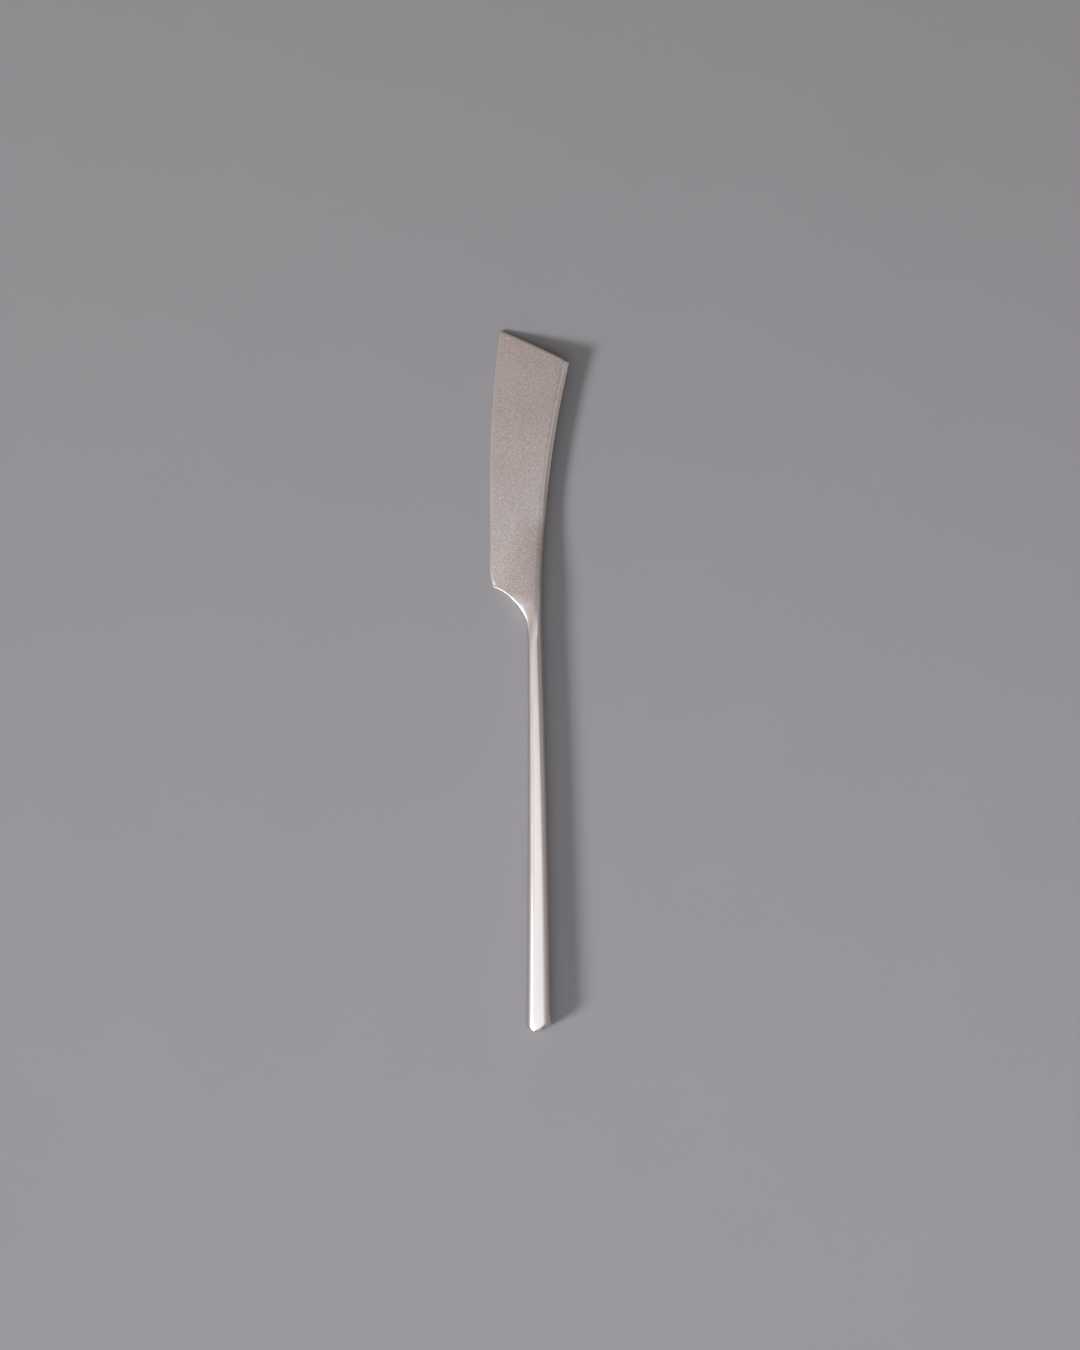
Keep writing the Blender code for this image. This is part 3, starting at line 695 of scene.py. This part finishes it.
def steel_finish(name, coarse, fine):
    """Steel that turns from a coarse to a fine grain, with lengthwise streaks, smudges and worn borders
    lightened by a painted highlight.

    Each grain is a colour, its contrast, a roughness, a size and a depth. The share of satin mixes the two.
    """
    material, tree, shader, place = new_material(name)
    shader.inputs["Metallic"].default_value = 1.0
    satin = attribute(tree, SATIN)
    wear_and_sheen = attribute(tree, WEAR_AND_SHEEN)
    smudge = noise(tree, place, SMUDGE_SIZE, 3.0)
    inputs = {"Vector": place, "Scale": (1.0, STREAK_STRETCH, 1.0)}
    stretched = add_node(tree, "ShaderNodeMapping", inputs).outputs["Vector"]
    streak = noise(tree, stretched, STREAK_SIZE, 2.0)

    bases, heights = [], []
    for shade, contrast, _, size, depth in (coarse, fine):
        grain = noise(tree, place, size, 2.0)
        bases.append(ramp(tree, grain, tinted(shade, 1 - contrast), tinted(shade, 1 + contrast)))
        heights.append(computed(tree, "MULTIPLY", grain, depth))
    base = blended(tree, satin, *bases)
    cloud = ramp(tree, smudge, SMUDGE_SHADE, (1.0, 1.0, 1.0))
    clouded = blended(tree, 1.0, base, cloud, "MULTIPLY")
    # Worn borders lighten: partly wear, partly a painted highlight along them.
    worn_and_sheen = blended(tree, wear_and_sheen, clouded, (*tinted(coarse[0], WORN_AND_SHEEN_SHADE), 1.0))
    tree.links.new(worn_and_sheen, shader.inputs["Base Color"])

    inputs = {"Value": satin, "To Min": coarse[2], "To Max": fine[2]}
    mean = add_node(tree, "ShaderNodeMapRange", inputs).outputs["Result"]
    dull = computed(tree, "ADD", mean, spread(tree, smudge, SMUDGE_ROUGHNESS, -SMUDGE_ROUGHNESS))
    rough = computed(tree, "SUBTRACT", dull, computed(tree, "MULTIPLY", wear_and_sheen, WORN_POLISH))
    tree.links.new(rough, shader.inputs["Roughness"])

    inputs = {"Factor": satin, "A": heights[0], "B": heights[1]}
    height = add_node(tree, "ShaderNodeMix", inputs).outputs["Result"]
    height = computed(tree, "ADD", height, computed(tree, "MULTIPLY", streak, STREAK_DEPTH))
    inputs = {"Strength": 0.6, "Distance": 1.0, "Height": height}
    tree.links.new(add_node(tree, "ShaderNodeBump", inputs).outputs["Normal"], shader.inputs["Normal"])
    return material


def blade_grain(finish):
    shade, contrast = finish.blade_colour, finish.blade_contrast
    return shade, contrast, finish.blade_roughness, finish.blade_grain, BLADE_GRAIN_DEPTH


def handle_grain(finish):
    shade, contrast = finish.handle_colour, HANDLE_CONTRAST
    return shade, contrast, finish.handle_roughness, finish.handle_grain, HANDLE_GRAIN_DEPTH


def filler_cement(name, shade):
    """Matt mineral cement: mixed sand grains, lumps and a rough skin."""
    material, tree, shader, place = new_material(name)
    inputs = {"Vector": place, "Scale": 1 / SAND_SIZE}
    sand = add_node(tree, "ShaderNodeTexVoronoi", inputs).outputs["Color"]
    lumps = noise(tree, place, LUMP_SIZE, 4.0)
    base = ramp(tree, lumps, tinted(shade, 0.8), tinted(shade, 1.15))
    tree.links.new(blended(tree, 0.18, base, sand, "SOFT_LIGHT"), shader.inputs["Base Color"])
    tree.links.new(spread(tree, lumps, 0.82, 0.95), shader.inputs["Roughness"])
    inputs = {"Strength": 0.5, "Distance": 0.0002, "Height": lumps}
    tree.links.new(add_node(tree, "ShaderNodeBump", inputs).outputs["Normal"], shader.inputs["Normal"])
    return material


class KNIFE_OT_blade(bpy.types.Operator):
    """Build the blade with its choil, neck and notched tang as one forging"""

    bl_idname = "table_knife.blade"
    bl_label = "Blade"

    def execute(self, context):
        knife = context.scene.table_knife
        finish = knife.finish
        upper, wear_and_sheen, satin = blade_surface(knife.handle, knife.blade)
        tang = tang_surface(knife.handle, knife.blade, upper.shape[1])
        rings = mirrored(np.concatenate([tang, upper]))
        values = {}
        for label, side in ((WEAR_AND_SHEEN, wear_and_sheen), (SATIN, satin)):
            side = np.concatenate([np.zeros(tang.shape[:2]), side])
            values[label] = np.concatenate([side, side[:, ::-1]], axis=1)
        steel = steel_finish("blasted_blade_steel", blade_grain(finish), handle_grain(finish))
        make_piece(knife, "blade_forging", rings, values, steel, "blade")
        return {"FINISHED"}


class KNIFE_OT_shells(bpy.types.Operator):
    """Build the upper and lower half shells of the hollow handle"""

    bl_idname = "table_knife.shells"
    bl_label = "Handle Shells"

    def execute(self, context):
        knife = context.scene.table_knife
        finish = knife.finish
        outer = half_tube(knife.handle, 0.0)
        inner = half_tube(knife.handle, knife.handle.wall)
        rings = np.concatenate([outer, inner[:, ::-1]], axis=1)
        # The handle lightens and grows smoother toward the end of its butt.
        wear_and_sheen = BUTT_LIGHTENING * np.exp(-rings[:, :, 1] / BUTT_LIGHTENING_REACH)
        steel = steel_finish("satin_handle_steel", handle_grain(finish), handle_grain(finish))
        for side, sign in (("upper", 1), ("lower", -1)):
            half = rings * (1, 1, sign)
            name, node = f"handle_{side}_half", f"handle_shell_{side}"
            make_piece(knife, name, half, {WEAR_AND_SHEEN: wear_and_sheen}, steel, node)
        return {"FINISHED"}


class KNIFE_OT_brazes(bpy.types.Operator):
    """Build the braze that fills the seam between the shells and the ring at the mouth"""

    bl_idname = "table_knife.brazes"
    bl_label = "Brazed Seams"

    def execute(self, context):
        knife = context.scene.table_knife
        handle, finish = knife.handle, knife.finish
        grain = (finish.braze_colour, *handle_grain(finish)[1:])
        braze = steel_finish("silver_braze", grain, grain)
        strip = self.seam_strip(handle)
        make_piece(knife, "seam_braze_strip", strip, {}, braze, "handle_seam_braze")
        ring = self.mouth_ring(handle)
        make_piece(knife, "mouth_braze_band", ring, {}, braze, "mouth_braze_ring", True)
        return {"FINISHED"}

    def seam_strip(self, handle):
        """A flat band carried along the rim: down one side of the handle, round the butt and up the other."""
        half = handle.seam_slot / 2
        walls = []
        for inset in (0.0, handle.wall):
            y, centre, half_width, _ = handle_stations(handle, handle.mouth_y - handle.mouth_slot, inset)
            x = np.concatenate([centre + half_width, (centre - half_width)[-2::-1]])
            walls.append(np.stack([x, np.concatenate([y, y[-2::-1]])], axis=-1))
        corners = [(walls[0], half), (walls[0], -half), (walls[1], -half), (walls[1], half)]
        return np.stack([np.insert(wall, 2, height, axis=1) for wall, height in corners], axis=1)

    def mouth_ring(self, handle):
        """A square-edged band carried round the superellipse of the mouth."""
        turn = np.linspace(0.0, 2 * math.pi, RING_STATIONS, endpoint=False)
        front, back = handle.mouth_y, handle.mouth_y - handle.mouth_slot
        corners = [(0.0, front), (0.0, back), (handle.wall, back), (handle.wall, front)]
        points = []
        for inset, y in corners:
            x = (handle.mouth_half_width - inset) * signed_power(np.cos(turn), 2 / handle.section_power)
            z = (handle.mouth_half_thick - inset) * signed_power(np.sin(turn), 2 / handle.section_power)
            points.append(np.stack([x, np.full_like(x, y), z], axis=-1))
        return np.stack(points, axis=1)


class KNIFE_OT_cement(bpy.types.Operator):
    """Give the cement inside the handle its finish"""

    bl_idname = "table_knife.cement"
    bl_label = "Cement"

    def execute(self, context):
        shade = context.scene.table_knife.finish.cement_colour
        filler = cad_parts["handle_cement"].data
        filler.materials.clear()
        filler.materials.append(filler_cement("mineral_cement", shade))
        return {"FINISHED"}


class KNIFE_OT_stage(bpy.types.Operator):
    """Lay the floor and set up the lamps and the camera"""

    bl_idname = "table_knife.stage"
    bl_label = "Stage"

    def execute(self, context):
        stage = context.scene.table_knife.stage
        self.lay_floor(context, stage)
        self.light(context, stage)
        self.set_camera(context, stage)
        context.scene.view_settings.view_transform = "Standard"
        return {"FINISHED"}

    def lay_floor(self, context, stage):
        half = FLOOR_HALF
        mesh = bpy.data.meshes.new("floor")
        corners = [(-half, -half, 0.0), (half, -half, 0.0), (half, half, 0.0), (-half, half, 0.0)]
        mesh.from_pydata(corners, [], [(0, 1, 2, 3)])
        material, tree, shader, place = new_material("pale_floor")
        pale, mottle = stage.floor_colour, noise(tree, place, FLOOR_MOTTLE_SIZE, 3.0)
        tone = ramp(tree, mottle, tinted(pale, FLOOR_MOTTLE_SHADE), pale)
        tree.links.new(tone, shader.inputs["Base Color"])
        shader.inputs["Roughness"].default_value = 0.9
        shader.inputs["Specular IOR Level"].default_value = 0.2
        mesh.materials.append(material)
        floor = bpy.data.objects.new("floor", mesh)
        context.scene.collection.objects.link(floor)

    def light(self, context, stage):
        world = bpy.data.worlds.new("dim_room")
        world.use_nodes = True
        world.node_tree.nodes["Background"].inputs["Color"].default_value = (*stage.world_colour, 1.0)
        context.scene.world = world
        self.softbox(context, "key", (-4.67, -2.49, 2.826), (1.50, 1.24), 73.0, (1.0, 0.985, 0.99))
        self.panel(context, "overhead", (0.05, -0.1925), (0.82, 0.475), 1.24, (0.90, 0.94, 1.0))
        self.panel(context, "overhead right", (0.91, -0.24), (0.90, 0.42), 0.70, (1.0, 0.90, 0.83))
        self.panel(context, "blade fill", (-0.42, 0.30), (0.36, 0.40), 0.53, (1.0, 0.80, 0.76))
        self.softbox(context, "left wall", (-1.60, 0.55, 0.20), (1.40, 0.40), 0.70, (1.0, 0.97, 0.96))
        self.softbox(context, "right wall", (1.60, -0.20, 0.22), (1.60, 0.40), 0.40, (1.0, 0.86, 0.76))
        self.softbox(context, "back", (-0.30, 1.00, 0.25), (0.70, 0.30), 1.40, (1.0, 0.97, 0.94))
        self.softbox(context, "front", (0.30, -1.00, 0.25), (0.70, 0.30), 1.30, (1.0, 0.97, 0.94))

    def panel(self, context, name, place, size, radiance, shade):
        """A lamp over the table that shines straight down."""
        self.softbox(context, name, (*place, PANEL_HEIGHT), size, radiance, shade, (*place, 0.0))

    def softbox(self, context, name, place, size, radiance, shade, aim=(0.0, 0.0, 0.0)):
        """A rectangular lamp aimed at a point, or else at the knife.

        Its power is pi times its area times its radiance.
        """
        lamp = bpy.data.lights.new(name, "AREA")
        lamp.shape = "RECTANGLE"
        lamp.size, lamp.size_y = size
        lamp.color = shade
        lamp.energy = math.pi * size[0] * size[1] * radiance
        holder = bpy.data.objects.new(name, lamp)
        holder.location = place
        holder.rotation_euler = (Vector(aim) - Vector(place)).to_track_quat("-Z", "Y").to_euler()
        holder.visible_camera = False
        context.scene.collection.objects.link(holder)

    def set_camera(self, context, stage):
        """Looks straight down from where the picture's height spans view_height at the knife."""
        camera = bpy.data.cameras.new("camera")
        camera.lens = stage.lens * MILLIMETRES
        camera.sensor_width = SENSOR * MILLIMETRES
        holder = bpy.data.objects.new("camera", camera)
        distance = stage.view_height * stage.lens / SENSOR
        holder.location = (stage.view_x, stage.view_y, stage.view_z + distance)
        context.scene.collection.objects.link(holder)
        context.scene.camera = holder


class VIEW3D_PT_table_knife(bpy.types.Panel):
    """Lists the knife's pieces and their settings"""

    bl_idname = "VIEW3D_PT_table_knife"
    bl_label = "Table Knife"
    bl_space_type = "VIEW_3D"
    bl_region_type = "UI"
    bl_category = "Table Knife"

    def draw(self, context):
        column = self.layout.column(align=True)
        for operator in OPERATORS:
            column.operator(operator.bl_idname)
        for group in ("handle", "blade", "finish", "stage"):
            settings = getattr(context.scene.table_knife, group)
            box = self.layout.box()
            box.label(text=settings.bl_rna.description)
            for name in settings.__annotations__:
                box.prop(settings, name)


OPERATORS = (KNIFE_OT_blade, KNIFE_OT_shells, KNIFE_OT_brazes, KNIFE_OT_cement, KNIFE_OT_stage)
CLASSES = (HandleSizes, BladeSizes, Finishes, StageSettings, TableKnife, *OPERATORS, VIEW3D_PT_table_knife)


def register():
    for item in CLASSES:
        bpy.utils.register_class(item)
    bpy.types.Scene.table_knife = bpy.props.PointerProperty(name="Table knife", type=TableKnife)


def unregister():
    del bpy.types.Scene.table_knife
    for item in reversed(CLASSES):
        bpy.utils.unregister_class(item)


def main():
    register()
    bpy.ops.table_knife.blade()
    bpy.ops.table_knife.shells()
    bpy.ops.table_knife.brazes()
    bpy.ops.table_knife.cement()
    bpy.ops.table_knife.stage()


if __name__ == "__main__":
    main()
